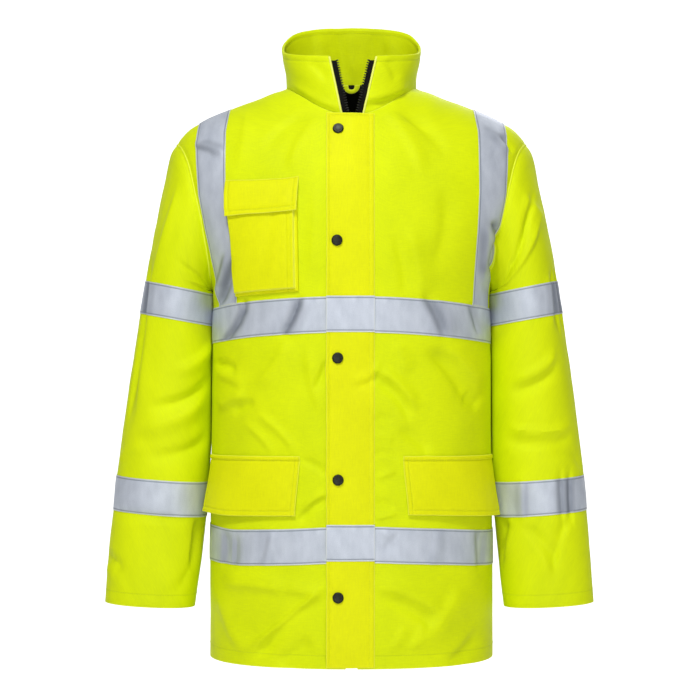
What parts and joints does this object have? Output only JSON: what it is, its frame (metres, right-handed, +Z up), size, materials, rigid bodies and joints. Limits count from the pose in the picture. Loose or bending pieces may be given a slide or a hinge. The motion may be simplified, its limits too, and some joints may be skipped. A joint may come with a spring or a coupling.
{
  "type": "hi-vis work jacket",
  "caption": "High-visibility work jacket, filled out and hollow, with a stand collar, storm flap over a zip, pockets and bands of reflective tape.",
  "frame": {"origin": "on the middle line inside the neck, level with the inner ends of the shoulder seams, where the wearer's neck and shoulders hold the jacket", "axes": "+X to the wearer's left, -Y to the front, +Z up"},
  "size_m": [0.705, 0.3017, 0.9185],
  "materials": {
    "shell_cloth": "coated woven polyester, fluorescent yellow, satin",
    "reflective_tape": "glass-bead retroreflective tape, grey silver",
    "lining_cloth": "black woven lining, matt",
    "zip_black": "black woven zip tape with moulded teeth",
    "snap_metal": "dark gunmetal cap, satin"
  },
  "bodies": {
    "root": {"front_right": "shell_cloth", "front_left": "shell_cloth", "back": "shell_cloth", "sleeve_right": "shell_cloth", "sleeve_left": "shell_cloth", "collar": "shell_cloth", "chest_pocket": "shell_cloth", "chest_pocket_flap": "shell_cloth", "low_pocket_flap_right": "shell_cloth", "low_pocket_flap_left": "shell_cloth", "storm_flap": "shell_cloth", "hanger_loop": "shell_cloth", "chest_tape_right": "reflective_tape", "chest_tape_left": "reflective_tape", "chest_tape_back": "reflective_tape", "chest_tape_flap": "reflective_tape", "hem_tape_right": "reflective_tape", "hem_tape_left": "reflective_tape", "hem_tape_back": "reflective_tape", "hem_tape_flap": "reflective_tape", "shoulder_tape_right": "reflective_tape", "shoulder_tape_left": "reflective_tape", "sleeve_tape_upper_right": "reflective_tape", "sleeve_tape_lower_right": "reflective_tape", "sleeve_tape_upper_left": "reflective_tape", "sleeve_tape_lower_left": "reflective_tape", "snap_1": "snap_metal", "snap_2": "snap_metal", "snap_3": "snap_metal", "snap_4": "snap_metal", "snap_5": "snap_metal", "zip_right": "zip_black", "zip_left": "zip_black", "neck_lining": "lining_cloth"}
  },
  "joints": []
}
